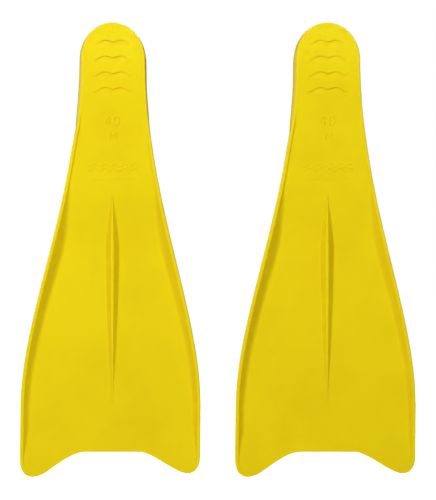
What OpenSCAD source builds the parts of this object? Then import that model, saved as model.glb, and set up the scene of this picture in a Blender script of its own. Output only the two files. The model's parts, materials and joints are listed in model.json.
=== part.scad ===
/* [Pair] */
// Distance between the two fins, centre to centre
fin_spacing = 264.5; // [250:0.5:320]

/* [Fin outline] */
// Length from the heel end to the longer tail lobe
fin_length = 560; // [550:1:575]
// Width across the heel
heel_width = 81.4; // [78:0.2:86]
// Width across the tail
tail_width = 222; // [210:1:232]
// Depth of the tail's notch below the longer lobe
notch_depth = 31; // [24:1:36]
// How much longer the left lobe is than the right one
lobe_step = 5.5; // [0:0.5:8]
// How far the outline leans off the keel line at the tail
outline_lean = 3; // [0:0.5:5]

/* [Sole and blade] */
// Thickness of the footbed
bed_thickness = 5; // [4:0.5:7]
// Step from the pocket's side or rail to the sole's edge
edge_strip = 3.6; // [3:0.1:4.5]
// Deepest recess of the blade below the sole plane
recess_depth = 10; // [8:0.5:11]
// Height of the blade's upper face where the recess is deepest
blade_rise = 15; // [14:0.5:17]
// Height of the blade's upper face at the tail
tail_rise = 6; // [5:0.1:7]
// Height of the rails above the blade's upper face
rail_height = 10; // [6:0.5:12]
// Half of the keel's greatest width
keel_half_width = 8.6; // [7:0.1:10]
// Half of the upper rib's greatest width
rib_half_width = 5; // [3:0.5:7]
// Height of the rib on the blade's upper face
rib_height = 3; // [2:0.5:5]

/* [Grip grooves] */
// Distance of the first groove from the heel end
groove_start = 24.8; // [22:0.2:28]
// Distance from one groove to the next
groove_pitch = 19.4; // [17:0.2:22]
// Depth of the grooves
groove_depth = 1.3; // [0.8:0.1:2]

/* [Foot pocket] */
// Thickness of the pocket's wall
wall = 4; // [3:0.5:5]
// Height of the heel cup at the back, above the sole plane
heel_height = 62; // [55:1:70]
// Height of the instep at its highest point
instep_height = 78; // [74:1:86]
// Height of the toe box at its open end
toe_height = 40; // [38:1:46]
// Distance of the toe opening from the heel end
toe_line = 222; // [214:1:228]

/* [Hidden] */
PIECES = [
    "sole", "heel_cup", "instep", "topline_bead", "toe_rim",
    "blade_root", "root_outer_rail", "root_inner_rail", "root_keel", "blade_web",
    "blade_panel", "blade_outer_rail", "blade_inner_rail", "blade_keel", "blade_rib", "tail_web",
    "tail_panel", "tail_outer_rail", "tail_inner_rail", "tail_keel", "tail_rib"];

heel_seat = 35;          // heel end to the middle of the heel seat, where the origin lies
joint_line = 75;         // where the heel cup and the instep meet
sole_end = 205;          // where the sole becomes the blade's root
blade_hinge = 250;       // bending lines of the blade and of its tail
tail_hinge = 400;
web = 12;                // half-length of each bending web
recess_end = 285;        // where the recess reaches its full depth
rise_end = 275;          // where the blade's upper face is highest
tail_recess = 2.4;       // depth of the recess at the tail
keel_start = 210;
keel_peak = 278;
keel_end = 477;
rib_start = 255;
rib_end = 450;
rail_top = 3.6;          // flat strip along the outside of each rail
belly = 18;              // height at which the pocket's side is widest
gap = 0.1;               // clearance of a strip or rail from the shell above it
bead_seat = 0.3;         // clearance of the topline bead from the edge it caps
step = 12;               // spacing of the cross-sections along the fin
heel_round = 46;         // length of the rounded heel
strip_start = 115;       // where the rails begin, as thin strips beside the sole
rim_length = 5;          // how far the toe rim stands out of the toe opening
edge_lip = 0.2;          // least thickness at the edges of the keel and the rib
instep_peak = 108;       // distance of the instep's highest point from the heel end
topline_angle = 15;      // angle round the arch at which the topline crosses the joint line
topline_low = 48;        // where the topline is lowest
topline_dip = 3;         // how far it dips there
tail_reach = 566;        // tail pieces run on to here before the tail's outline cuts them
yellow = [0.97, 0.85, 0.08];
deep_yellow = [0.93, 0.79, 0.05];
pale_yellow = [1, 0.9, 0.25];

// Eased step from 0 to 1
function ease(t) = let (u = min(max(t, 0), 1)) u * u * (3 - 2 * u);

// Straight mix of a and b
function mix(a, b, t) = a + (b - a) * t;

// Stations from a to b: both ends, and every whole step between them
function stations(a, b) = concat(
    [a], [for (i = [floor(a / step) + 1:ceil(b / step) - 1]) i * step], [b]);
function backwards(list) = [for (i = [len(list) - 1:-1:0]) list[i]];

// Point on a cubic curve through a and d, drawn towards b and c
function curve(a, b, c, d, t) =
    pow(1 - t, 3) * a + 3 * pow(1 - t, 2) * t * b + 3 * (1 - t) * t * t * c + pow(t, 3) * d;

// Half-width of the fin at distance s from the heel end: a rounded heel, then one eased flare
function flare(s) =
    heel_width / 2 + (tail_width - heel_width) / 2 * ease(pow(max(s - 17, 0) / 461, 1.245));
function heel_cap(s) = s >= heel_round ? 1 : sqrt(1 - pow(1 - s / heel_round, 2));
function half_width(s) = flare(s) * heel_cap(s);

// Sideways shift of the outline from the keel line
function lean(s) = -outline_lean * pow(s / fin_length, 2);

// Side line of the fin, side = -1 or 1, drawn in by inset
function side_x(s, side, inset = 0) = lean(s) + side * (half_width(s) - inset);

// Heights of the blade's lower and upper faces above the sole plane
function under(s) =
    s < recess_end ? recess_depth * ease((s - 185) / (recess_end - 185))
    : mix(recess_depth, tail_recess, (s - recess_end) / 275);
function over(s) =
    s < rise_end ? mix(bed_thickness, blade_rise, ease((s - 200) / (rise_end - 200)))
    : mix(blade_rise, tail_rise, pow(min((s - rise_end) / 285, 1), 0.9));

// Rails: top height, and width of the slope inside the flat strip
function rail_over(s) =
    over(s) + 0.8 + rail_height * pow(1 - min(max((s - 250) / 295, 0), 1), 1.3)
    + 8 * (1 - ease((s - toe_line) / 42));
function rail_slope(s) = s < 280 ? mix(2, 13, ease((s - 185) / 95)) : mix(13, 6, (s - 280) / 280);
function panel_inset(s) = rail_top + rail_slope(s);

// Keel and upper rib: half-width and edge height
function keel_half(s) =
    s < keel_peak ? keel_half_width * (1 - pow((keel_peak - s) / 68, 1.25))
    : keel_half_width * (1 - pow((s - keel_peak) / 200, 1.6));
function keel_width(s) = max(keel_half(s), 0.8);
function keel_edge(s) = under(s) - min(0.85 * keel_width(s), 0.97 * under(s));
function rib_shape(s) =
    s < rib_start ? 0.15 : max(sin(180 * pow((s - rib_start) / (rib_end - rib_start), 0.8)), 0.15);

// Solid between two grids of points of the same size. Along a row, and then from row to row,
// the low grid turns its face away from the high one.
module sheet(low, high) {
    rows = len(low);
    cols = len(low[0]);
    count = rows * cols;
    function at(i, j) = i * cols + j;
    function square(a, b, c, d) = [[a, b, c], [a, c, d]];
    faces = [
        for (i = [0:rows - 2], j = [0:cols - 2]) each concat(
            square(at(i, j), at(i, j + 1), at(i + 1, j + 1), at(i + 1, j)),
            square(count + at(i, j), count + at(i + 1, j),
                   count + at(i + 1, j + 1), count + at(i, j + 1))),
        for (j = [0:cols - 2]) each concat(
            square(at(0, j), count + at(0, j), count + at(0, j + 1), at(0, j + 1)),
            square(at(rows - 1, j), at(rows - 1, j + 1),
                   count + at(rows - 1, j + 1), count + at(rows - 1, j))),
        for (i = [0:rows - 2]) each concat(
            square(at(i, 0), at(i + 1, 0), count + at(i + 1, 0), count + at(i, 0)),
            square(at(i, cols - 1), count + at(i, cols - 1),
                   count + at(i + 1, cols - 1), at(i + 1, cols - 1)))];
    polyhedron(concat([for (row = low) each row], [for (row = high) each row]), faces,
               convexity = 8);
}

// Closed chain of equal cross-sections
module chain(rings) {
    rows = len(rings);
    cols = len(rings[0]);
    function at(i, j) = (i % rows) * cols + j % cols;
    polyhedron([for (ring = rings) each ring],
               [for (i = [0:rows - 1], j = [0:cols - 1]) each [
                   [at(i, j), at(i + 1, j + 1), at(i, j + 1)],
                   [at(i, j), at(i + 1, j), at(i + 1, j + 1)]]],
               convexity = 8);
}

// Blade panel between its lower and upper faces
module panel(from, to) {
    function edges(s, h) = [for (side = [-1, 1]) [side_x(s, side, panel_inset(s)), s, h]];
    sheet([for (s = stations(from, to)) edges(s, under(s))],
          [for (s = stations(from, to)) edges(s, over(s))]);
}

// Rail beside the panel: inner slope and flat strip below, standing up above the blade,
// or only as high as the blade where the pocket's wall stands on it
module rail(from, to, side, raised = true) {
    function row(s, heights) =
        [for (i = [0:2]) [side_x(s, side, [panel_inset(s), rail_top, 0][i]), s, heights[i]]];
    function top(s) = raised ? rail_over(s) : over(s) - gap;
    places = stations(from, to);
    low = [for (s = places) row(s, [under(s), 0, 0])];
    high = [for (s = places) row(s, [over(s) - gap, top(s), top(s)])];
    if (side > 0) sheet(low, high);
    else sheet(high, low);
}

// Thin strip of the rail beside the sole
module strip(from, to, side) {
    function row(s, h) = [for (inset = [edge_strip, 0]) [side_x(s, side, inset), s, h]];
    low = [for (s = stations(from, to)) row(s, 0)];
    high = [for (s = stations(from, to)) row(s, bed_thickness - gap)];
    if (side > 0) sheet(low, high);
    else sheet(high, low);
}

// Keel under the blade and rib on top of it, each three points wide
module keel(from, to) {
    places = stations(max(from, keel_start), min(to, keel_end));
    function row(s, side_h, mid_h) =
        [for (x = [-1, 0, 1]) [x * keel_width(s), s, x == 0 ? mid_h : side_h]];
    sheet([for (s = places) row(s, under(s) - edge_lip, keel_edge(s))],
          [for (s = places) row(s, under(s), under(s))]);
}

module rib(from, to) {
    places = stations(max(from, rib_start), min(to, rib_end));
    function row(s, side_h, mid_h) =
        [for (x = [-1, 0, 1]) [x * rib_half_width * rib_shape(s), s, x == 0 ? mid_h : side_h]];
    sheet([for (s = places) row(s, over(s), over(s))],
          [for (s = places) row(s, over(s) + edge_lip, over(s) + rib_height * rib_shape(s))]);
}

// Bending web: a short length of panel, rails, keel and rib in one piece
module bend(from, to) {
    function half_row(s, side, low) =
        let (top = low ? 0 : rail_over(s))
        [[side_x(s, side), s, top],
         [side_x(s, side, rail_top), s, top],
         [side_x(s, side, panel_inset(s)), s, low ? under(s) : over(s)],
         [side * (low ? keel_width(s) : rib_half_width * rib_shape(s)), s,
          low ? under(s) - edge_lip : over(s) + edge_lip]];
    function middle(s, low) = [0, s, low ? keel_edge(s) : over(s) + rib_height * rib_shape(s)];
    function row(s, low) =
        concat(half_row(s, -1, low), [middle(s, low)], backwards(half_row(s, 1, low)));
    sheet([for (s = stations(from, to)) row(s, true)],
          [for (s = stations(from, to)) row(s, false)]);
}

// Tail outline: a straight notch, slopes out to the lobes, then each lobe's rounded tip
module tail_shape() {
    notch = fin_length - notch_depth;
    function edge(side) =
        let (tip = side < 0 ? fin_length : fin_length - lobe_step, outside = side_x(535, side) + side,
             foot = [80 * side, tip - 7])
        concat([for (t = [0:0.2:0.8])
                   curve([33 * side, notch], [48 * side, notch], [66 * side, notch + 14], foot, t)],
               [for (t = [0:0.1:1])
                   curve(foot, [89 * side, tip], [outside, tip + 9], [outside, tip - 21], t)]);
    linear_extrude(height = 60, center = true) polygon(concat(
        edge(1), [[130, 500], [130, 400], [-130, 400], [-130, 500]], backwards(edge(-1))));
}

// Foot pocket: an arch over the foot, standing on an upright skirt that draws in to the sole
function arch_height(s) = mix(toe_height, instep_height, pow(max(toe_line - s, 0) / 114, 1.25));
function bed(s) = max(bed_thickness, over(s));
function pinch(s) = edge_strip * (1 - ease((s - 110) / 45));
function arch(s, a, inset) =
    let (across = pow(abs(cos(a)), 0.82), up = pow(sin(a), 0.82))
    [lean(s) - sign(cos(a)) * (half_width(s) - inset) * across, s,
     belly + (arch_height(s) - inset - belly) * up];
function skirt(s, side, t, inset) =
    [side_x(s, side, inset + pinch(s) * pow(1 - t, 2)), s, mix(bed(s), belly, t)];

// Row of pocket points from the left side of the sole over the foot to the right side
arch_angles = [for (i = [0:24]) 7.5 * i];
function over_foot(s, arch_s, inset) = concat(
    [for (t = [0, 0.5]) skirt(s, -1, t, inset)],
    [for (a = arch_angles) arch(arch_s(a), a, inset)],
    [for (t = [0.5, 0]) skirt(s, 1, t, inset)]);

// Instep shell: its rear edge is upright up to the topline's angle, then sweeps forward
function instep_rear(a) = mix(joint_line, instep_peak,
    sin(90 * max(0, min(a, 180 - a) - topline_angle) / (90 - topline_angle)));
function instep_grid(inset) = [for (v = [0:0.1:1]) over_foot(
    mix(joint_line, toe_line, v), function(a) mix(instep_rear(a), toe_line, v), inset)];

// Heel cup: an upright wall carried round the heel, u = -1 at its left end and 1 at its right end
side_height = arch(joint_line, topline_angle, 0)[2];
function topline(s) =
    s < topline_low ? mix(heel_height, side_height - topline_dip, ease(s / topline_low))
    : side_height - topline_dip * (1 - pow((s - topline_low) / (joint_line - topline_low), 2));
// How far the wall's inner edge lies below its outer edge, to meet the instep's slanting edge
function inner_drop(s, inset) =
    inset * pow(sin(topline_angle), 0.82) * ease((s - topline_low) / (joint_line - topline_low));
// Heel cup's line round the heel, and its outward direction
function around(u) =
    let (t = (abs(u) - 0.6) / 0.4, s = mix(heel_round, joint_line, t), a = 150 * abs(u))
    abs(u) > 0.6 ? [sign(u) * half_width(s), s]
    : [sign(u) * flare(heel_round) * sin(a), heel_round * (1 - cos(a))];
function outward(u) =
    let (a = 150 * abs(u), v = [sign(u) * heel_round * sin(a), -flare(heel_round) * cos(a)])
    abs(u) > 0.6 ? [sign(u), 0] : v / norm(v);
function heel_draw(s, h) =
    h < belly ? edge_strip * pow((belly - h) / (belly - bed_thickness), 2)
    : mix(7, 2, ease(s / 60)) * pow((h - belly) / (heel_height - belly), 2);
function heel_grid(inset) = [for (i = [-14:14])
    let (line = around(i / 14), out = outward(i / 14))
    [for (j = [0:6])
        let (h = mix(bed_thickness, topline(line[1]) - inner_drop(line[1], inset), j / 6),
             p = line - out * (inset + heel_draw(line[1], h)))
        [p[0] + lean(p[1]), p[1], h]]];

// Ring of a bead on a wall's edge: it spans the wall and stands away from the edge
bead_section = [[-3.2, bead_seat], [-3.2, 2.4], [-1.7, 4.4], [1.7, 4.4], [3.2, 2.4],
                [3.2, bead_seat]];
function bead_ring(outer, inner, below, ahead, behind) =
    let (out = (outer - inner) / norm(outer - inner), along = (ahead - behind) / norm(ahead - behind),
         raw = outer - below, flat = raw - out * (raw * out) - along * (raw * along),
         away = flat / norm(flat))
    [for (q = bead_section) (outer + inner) / 2 + out * q[0] + away * q[1]];

module sole() color(yellow) difference() {
    linear_extrude(height = bed_thickness) polygon(concat(
        [for (a = [-90:7.5:90]) [(flare(heel_round) - edge_strip) * sin(a),
                                 heel_round - (heel_round - edge_strip) * cos(a)]],
        [for (s = stations(60, sole_end)) [side_x(s, 1, edge_strip), s]],
        backwards([for (s = stations(60, sole_end)) [side_x(s, -1, edge_strip), s]])));
    for (i = [0:3]) translate([1, groove_start + groove_pitch * i, -1])
        linear_extrude(height = 1 + groove_depth) grip_groove(20 + 1.2 * i);
}

// One grip groove: two humps side by side, tapering to both ends
module grip_groove(half) {
    function hump(u) = 1.8 * u * u - 2.6 * sin(180 * abs(u));
    function thick(u) = 0.2 + 0.9 * sqrt(max(0, 1 - u * u));
    places = [for (i = [-10:10]) i / 10];
    polygon(concat([for (u = places) [half * u, hump(u) - thick(u)]],
                   backwards([for (u = places) [half * u, hump(u) + thick(u)]])));
}

module heel_cup() color(deep_yellow) sheet(heel_grid(0), heel_grid(wall));

module instep() color(deep_yellow) sheet(instep_grid(wall), instep_grid(0));

module topline_bead() color(pale_yellow) {
    corner = 4;
    heel = [heel_grid(0), heel_grid(wall)];
    foot = [instep_grid(0), instep_grid(wall)];
    last = len(foot[0][0]) - 1 - corner;
    edge = concat(
        [for (i = [1:27]) [heel[0][i][6], heel[1][i][6], heel[0][i][5]]],
        [for (j = [last:-1:corner]) [foot[0][0][j], foot[1][0][j], foot[0][1][j]]]);
    n = len(edge);
    chain([for (i = [0:n - 1]) bead_ring(
        edge[i][0], edge[i][1], edge[i][2], edge[(i + 1) % n][0], edge[(i + n - 1) % n][0])]);
}

module toe_rim() {
    function line(v, inset) = let (s = toe_line + rim_length * v) over_foot(s, function(a) s, inset);
    color(pale_yellow) sheet([for (v = [0:0.25:1]) line(v, wall + 0.8 * sin(180 * v))],
          [for (v = [0:0.25:1]) line(v, -1.2 * sin(180 * v))]);
}

module blade_root() color(yellow) panel(sole_end, blade_hinge - web);

module root_rail(side) color(deep_yellow) {
    strip(strip_start, sole_end, side);
    rail(sole_end, toe_line + rim_length + gap, side, raised = false);
    rail(toe_line + rim_length + gap, blade_hinge - web, side);
}

module root_keel() color(pale_yellow) keel(keel_start, blade_hinge - web);

module blade_web() color(yellow) bend(blade_hinge - web, blade_hinge + web);

module blade_panel() color(yellow) panel(blade_hinge + web, tail_hinge - web);

module blade_rail(side) color(deep_yellow) rail(blade_hinge + web, tail_hinge - web, side);

module blade_keel() color(pale_yellow) keel(blade_hinge + web, tail_hinge - web);

module blade_rib() color(pale_yellow) rib(blade_hinge + web, tail_hinge - web);

module tail_web() color(yellow) bend(tail_hinge - web, tail_hinge + web);

module tail_panel() color(yellow) intersection() {
    panel(tail_hinge + web, tail_reach);
    tail_shape();
}

module tail_rail(side) color(deep_yellow) intersection() {
    rail(tail_hinge + web, tail_reach, side);
    tail_shape();
}

module tail_keel() color(pale_yellow) keel(tail_hinge + web, keel_end);

module tail_rib() color(pale_yellow) rib(tail_hinge + web, rib_end);

// Stands a fin upright, heel up and sole towards -Y, on its side of the pair
module fin(side) translate([side * fin_spacing / 2, -bed_thickness, heel_seat])
    rotate([-90, 0, 0]) children();

for (pick = [["left", -1], ["right", 1]]) {
    foot = pick[0];
    outer = pick[1];
    fin(outer) sole();
    fin(outer) heel_cup();
    fin(outer) instep();
    fin(outer) topline_bead();
    fin(outer) toe_rim();
    fin(outer) blade_root();
    fin(outer) root_rail(outer);
    fin(outer) root_rail(-outer);
    fin(outer) root_keel();
    fin(outer) blade_web();
    fin(outer) blade_panel();
    fin(outer) blade_rail(outer);
    fin(outer) blade_rail(-outer);
    fin(outer) blade_keel();
    fin(outer) blade_rib();
    fin(outer) tail_web();
    fin(outer) tail_panel();
    fin(outer) tail_rail(outer);
    fin(outer) tail_rail(-outer);
    fin(outer) tail_keel();
    fin(outer) tail_rib();
}
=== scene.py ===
"""A pair of yellow full-foot rubber swim fins, standing heel up with their soles forward.

Shapes are worked out in millimetres on one flat fin: x across from the keel, s from the heel end
towards the tail, h above the sole plane towards the foot. place() stands them up in the frame.
"""
import json
import math

import bmesh
import bpy
import numpy as np
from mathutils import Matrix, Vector


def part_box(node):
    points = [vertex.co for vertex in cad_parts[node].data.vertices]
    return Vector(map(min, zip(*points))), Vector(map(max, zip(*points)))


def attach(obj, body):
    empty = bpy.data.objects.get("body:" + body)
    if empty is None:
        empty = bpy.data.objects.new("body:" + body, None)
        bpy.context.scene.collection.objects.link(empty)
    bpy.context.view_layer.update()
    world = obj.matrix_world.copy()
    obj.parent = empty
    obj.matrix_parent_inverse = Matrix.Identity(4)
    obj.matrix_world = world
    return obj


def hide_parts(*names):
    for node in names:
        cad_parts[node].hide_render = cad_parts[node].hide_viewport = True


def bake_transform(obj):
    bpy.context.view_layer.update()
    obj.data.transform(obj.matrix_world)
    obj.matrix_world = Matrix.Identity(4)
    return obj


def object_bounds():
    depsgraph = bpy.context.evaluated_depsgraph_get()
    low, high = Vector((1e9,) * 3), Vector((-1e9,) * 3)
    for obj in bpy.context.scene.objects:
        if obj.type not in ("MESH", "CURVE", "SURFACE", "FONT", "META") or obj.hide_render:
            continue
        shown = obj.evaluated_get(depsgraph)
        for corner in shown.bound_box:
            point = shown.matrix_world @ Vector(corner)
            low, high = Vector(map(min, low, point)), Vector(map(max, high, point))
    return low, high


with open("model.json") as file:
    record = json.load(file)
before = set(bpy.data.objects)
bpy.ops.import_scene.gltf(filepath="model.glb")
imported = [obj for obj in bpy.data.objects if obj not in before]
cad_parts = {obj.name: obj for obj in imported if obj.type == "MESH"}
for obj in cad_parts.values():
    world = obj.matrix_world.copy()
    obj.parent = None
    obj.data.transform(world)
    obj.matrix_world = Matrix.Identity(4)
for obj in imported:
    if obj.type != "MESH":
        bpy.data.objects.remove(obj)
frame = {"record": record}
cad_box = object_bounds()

MM = 0.001
FEET = ("left", "right")

# Fin outline
FIN_LENGTH = 560.0
HEEL_HALF, TAIL_HALF = 40.7, 111.0
FLARE_START, FLARE_RUN, FLARE_DELAY = 17.0, 461.0, 1.245
HEEL_ROUND = 46.0                   # length of the rounded heel
HEEL_SEAT = 35.0                    # from the heel end to the seat of the wearer's heel
OUTLINE_LEAN = 3.0                  # sideways lean of the outline at the tail
LEFT_PINCH, RIGHT_PINCH = 3.2, 0.7  # how far the sole's edge lies inside the pocket's wall
HEEL_PINCH = 1.0                    # the same at the heel end
PINCH_END, PINCH_FADE = 110.0, 55.0

# Tail
NOTCH_AT, NOTCH_FLAT = 529.0, 33.0  # station and half-width of the notch's straight bottom
LOBE_STEP = 5.5                     # by how much the right lobe is shorter
LOBE_TURN = 22.0                    # length over which a lobe's outer side turns in
LEFT_LOBE, RIGHT_LOBE = (80.0, 0.0), (77.0, 2.5)   # where a tip starts, and its extra fullness

# Foot pocket
BED, WALL = 5.0, 4.0                # thickness of the sole under the foot, and of the shell
BELLY = 18.0                        # height of the pocket's widest line
HEEL_HEIGHT, INSTEP_HEIGHT, TOE_HEIGHT = 62.0, 78.0, 40.0
JOINT_LINE, INSTEP_PEAK, TOE_LINE = 75.0, 108.0, 222.0
TOPLINE_ANGLE = 15.0                # where the foot opening's edge leaves the joint line
TOPLINE_LOW, TOPLINE_DIP = 48.0, 3.0
ROUND_UP = 0.82                     # below 1, which squares off the arch
SIDE_LINE_START = 112.0             # where the rail starts to climb the pocket's side
SIDE_STEP, SPINE_STEP = 1.9, 1.1    # steps of the side line and of the band along the crown
HEEL_DRAW, SIDE_DRAW = 7.0, 2.0     # how far the heel's wall leans in at its top, back and side
BEAD_WIDE, BEAD_TALL, BEAD_LIFT = 3.1, 2.6, 1.2
RIM_SEAT = 1.6                      # how far the toe rim stands in front of the shell's end
RIM_ENDS, RIM_FULL = (1.6, 1.9), (3.2, 2.5)   # its half-sizes, sunk in the rails and above them

# Blade
STEP_START, STEP_RUN, STEP_DEPTH = 104.0, 26.0, 1.3
RECESS_START, RECESS_END = 192.0, 285.0
RECESS_DEPTH, TAIL_RECESS = 10.0, 2.4
RISE_START, RISE_END = 200.0, 275.0
BLADE_TOP, TAIL_TOP = 15.0, 6.0     # height of the upper face where it is highest, and at the tail
RAIL_LIP, RAIL_RISE, RAIL_CLIMB = 0.8, 10.0, 8.0
RAIL_FALL_START, RAIL_FALL_RUN, RAIL_CLIMB_RUN = 250.0, 295.0, 42.0
SIDE_SLOPE = 0.87                   # steepness of the rails' and the keel's sides
FILLET = 5.6                        # length of the hollow at the foot of a rail
STRIP_NARROW, STRIP_WIDE = 2.6, 3.9
STRIP_START, STRIP_RUN = 105.0, 60.0
KEEL_START, KEEL_PEAK, KEEL_END = 210.0, 278.0, 477.0
KEEL_HALF = 8.6
KEEL_CREST = 1.2                    # half-width of the keel's flat crest
RIB_START, RIB_END, RIB_HEIGHT = 255.0, 450.0, 3.0
EDGE_ROUND = 1.2
NARROW = 14.0                       # half-width below which strips and slopes shrink with the fin
SPLIT = 325.0                       # where the blade's skin changes pieces, between the two bends
BLADE_BEND, TAIL_BEND = (190.0, 310.0), (335.0, 465.0)

# Grip grooves
GROOVE_START, GROOVE_PITCH, GROOVE_COUNT = 25.3, 19.4, 4
GROOVE_HALF, GROOVE_GROWTH, GROOVE_DEPTH = 21.0, 1.4, 1.5
GROOVE_WALL, GROOVE_FLOOR, GROOVE_RISE = 0.4, 1.3, 5.0
HUMP_TURN, HUMP_RISE = 2.3, 3.5     # how far a groove's ends turn back, and its humps rise

# Raised marks, as width and height of a stroke
SIZE_STROKE, WAVE_STROKE, TICK_STROKE = (1.7, 0.75), (1.6, 0.6), (1.1, 0.4)


# ---------------------------------------------------------------- shape formulas

def ease(t):
    """Smooth step from 0 to 1: three t squared less two t cubed, held at both ends."""
    u = np.clip(t, 0.0, 1.0)
    return u * u * (3 - 2 * u)


def mix(a, b, t):
    """Straight mix of a and b."""
    return a + (b - a) * t


def flare(s):
    """Half-width without the heel's rounding: the heel's half plus one eased, delayed rise."""
    run = np.maximum(s - FLARE_START, 0) / FLARE_RUN
    return HEEL_HALF + (TAIL_HALF - HEEL_HALF) * ease(run ** FLARE_DELAY)


def half_width(s):
    """Flare times a quarter ellipse over the first HEEL_ROUND millimetres."""
    near = 1 - np.minimum(s, HEEL_ROUND) / HEEL_ROUND
    return flare(s) * np.sqrt(np.clip(1 - near ** 2, 0, 1))


def lean(s):
    """Sideways shift of the outline from the keel line, growing with the square of s."""
    return -OUTLINE_LEAN * (s / FIN_LENGTH) ** 2


def pinch(s, side):
    """How far the sole's edge lies inside the pocket's widest line: more on the left side."""
    beside = np.where(side < 0, LEFT_PINCH, RIGHT_PINCH)
    return mix(HEEL_PINCH, beside, ease(s / 50)) * (1 - ease((s - PINCH_END) / PINCH_FADE))


def sole_half(s, side):
    """Sole's half-width: the pocket's widest line, drawn in square to itself round the heel."""
    a = np.radians(np.linspace(0, 90, 181))
    line = np.stack([flare(HEEL_ROUND) * np.sin(a), HEEL_ROUND * (1 - np.cos(a))], -1)
    out = np.stack([HEEL_ROUND * np.sin(a), -flare(HEEL_ROUND) * np.cos(a)], -1)
    out /= np.linalg.norm(out, axis=1, keepdims=True)
    drawn = line - out * pinch(line[:, 1], side)[:, None]
    return np.where(s < HEEL_ROUND, np.interp(s, drawn[:, 1], drawn[:, 0]),
                    half_width(s) - pinch(s, side))


def recess(s):
    """Height of the lower face: a small step beside the rails, then the blade's deep recess."""
    foot = (STEP_DEPTH * ease((s - STEP_START) / STEP_RUN)
            + (RECESS_DEPTH - STEP_DEPTH) * ease((s - RECESS_START) / (RECESS_END - RECESS_START)))
    blade = mix(RECESS_DEPTH, TAIL_RECESS, (s - RECESS_END) / (FIN_LENGTH - RECESS_END))
    blade = blade * (1 - 0.9 * ease((s - 500) / 50))
    return np.where(s < RECESS_END, foot, blade)


def over(s):
    """Height of the upper face: the footbed, a ramp under the toes, then a slow fall to the tail."""
    ramp = mix(BED, BLADE_TOP, ease((s - RISE_START) / (RISE_END - RISE_START)))
    run = np.clip((s - RISE_END) / (FIN_LENGTH - RISE_END), 0, 1)
    fall = mix(BLADE_TOP, TAIL_TOP, run ** 0.9)
    return np.where(s < RISE_END, ramp, fall)


def rail_over(s):
    """Height of the rails' upper edge, swept up to the pocket's side behind the toe rim."""
    fade = np.clip((s - RAIL_FALL_START) / RAIL_FALL_RUN, 0, 1)
    climb = RAIL_CLIMB * (1 - ease((s - TOE_LINE) / RAIL_CLIMB_RUN))
    return over(s) + RAIL_LIP + RAIL_RISE * (1 - fade) ** 1.3 + climb


def strip_width(s):
    """Width of the rail's flat strip, which grows out of the sole's edge."""
    return mix(STRIP_NARROW, STRIP_WIDE, ease((s - STRIP_START) / STRIP_RUN))


def fillet(s):
    """Length of the hollow at the foot of a rail's slope, shorter where the recess is shallow."""
    return FILLET * np.clip(recess(s) / 4, 0.12, 1)


def slope_width(s):
    """Width of a rail's slope and its hollow, which together go down to the recess."""
    return np.maximum(recess(s), 0.3) / SIDE_SLOPE + fillet(s) / 2


def keel_shape(s):
    """Keel half-width as a share of its widest: 0 at both ends, 1 at KEEL_PEAK."""
    rise = 1 - (np.clip((KEEL_PEAK - s) / (KEEL_PEAK - KEEL_START), 0, 1)) ** 1.25
    fall = 1 - (np.clip((s - KEEL_PEAK) / (KEEL_END - KEEL_PEAK), 0, 1)) ** 1.6
    return np.clip(np.where(s < KEEL_PEAK, rise, fall), 0, 1)


def rib_shape(s):
    """Upper rib's height as a share of its highest: half a sine wave, leaning forward."""
    t = np.clip((s - RIB_START) / (RIB_END - RIB_START), 0, 1)
    return np.sin(math.pi * t ** 0.8)


def hump(u):
    """Line of a grip groove: two humps side by side, its ends turned back."""
    u = np.sqrt(u ** 2 + 0.004)
    inside = HUMP_TURN * u ** 2 - HUMP_RISE * np.sin(math.pi * np.minimum(u, 1))
    return np.where(u <= 1, inside, HUMP_TURN * (1 - ease((u - 1) / 0.6)))


def groove_cut(x, t, half):
    """Depth of one groove at distance t past its line: a steep wall, a short floor, a soft rise."""
    across = np.sqrt(np.clip(1 - ((x - 1) / half) ** 2, 0, 1))
    down, back = ease(t / GROOVE_WALL), ease((t - GROOVE_FLOOR) / GROOVE_RISE)
    return GROOVE_DEPTH * across * down * (1 - back)


# ---------------------------------------------------------------- mesh helpers

def quads(rows, cols, first=0, wrap=False):
    """Faces of a grid of points counted row by row; wrap joins the last column to the first."""
    i = np.arange(rows - 1)[:, None]
    j = np.arange(cols if wrap else cols - 1)[None, :]
    k = (j + 1) % cols
    return np.stack([i * cols + j, i * cols + k, (i + 1) * cols + k, (i + 1) * cols + j],
                    axis=-1).reshape(-1, 4) + first


def slab(low, high):
    """Closed solid between two grids of points: both faces, and a strip of faces round the border."""
    rows, cols = low.shape[:2]
    count = rows * cols
    index = np.arange(count).reshape(rows, cols)
    border = np.concatenate([index[0, :-1], index[:-1, -1], index[-1, :0:-1], index[:0:-1, 0]])
    after = np.roll(border, -1)
    edge = np.stack([border, after, after + count, border + count], axis=-1)
    points = np.concatenate([low.reshape(-1, 3), high.reshape(-1, 3)])
    return points, np.concatenate([quads(rows, cols), quads(rows, cols, count)[:, ::-1], edge])


def sweep(path, out, section):
    """Carries a section along a path: a section point is so far along out, and so far across."""
    along = np.gradient(path, axis=0)
    along /= np.linalg.norm(along, axis=1, keepdims=True)
    out = out - along * np.sum(out * along, 1, keepdims=True)
    out /= np.linalg.norm(out, axis=1, keepdims=True)
    across = np.cross(along, out)
    rings = path[:, None] + out[:, None] * section[..., 0:1] + across[:, None] * section[..., 1:2]
    n, m = rings.shape[:2]
    ends = [list(range(m)), list(range((n - 1) * m, n * m))]
    return rings.reshape(-1, 3), [*quads(n, m, wrap=True).tolist(), *ends]


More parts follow.
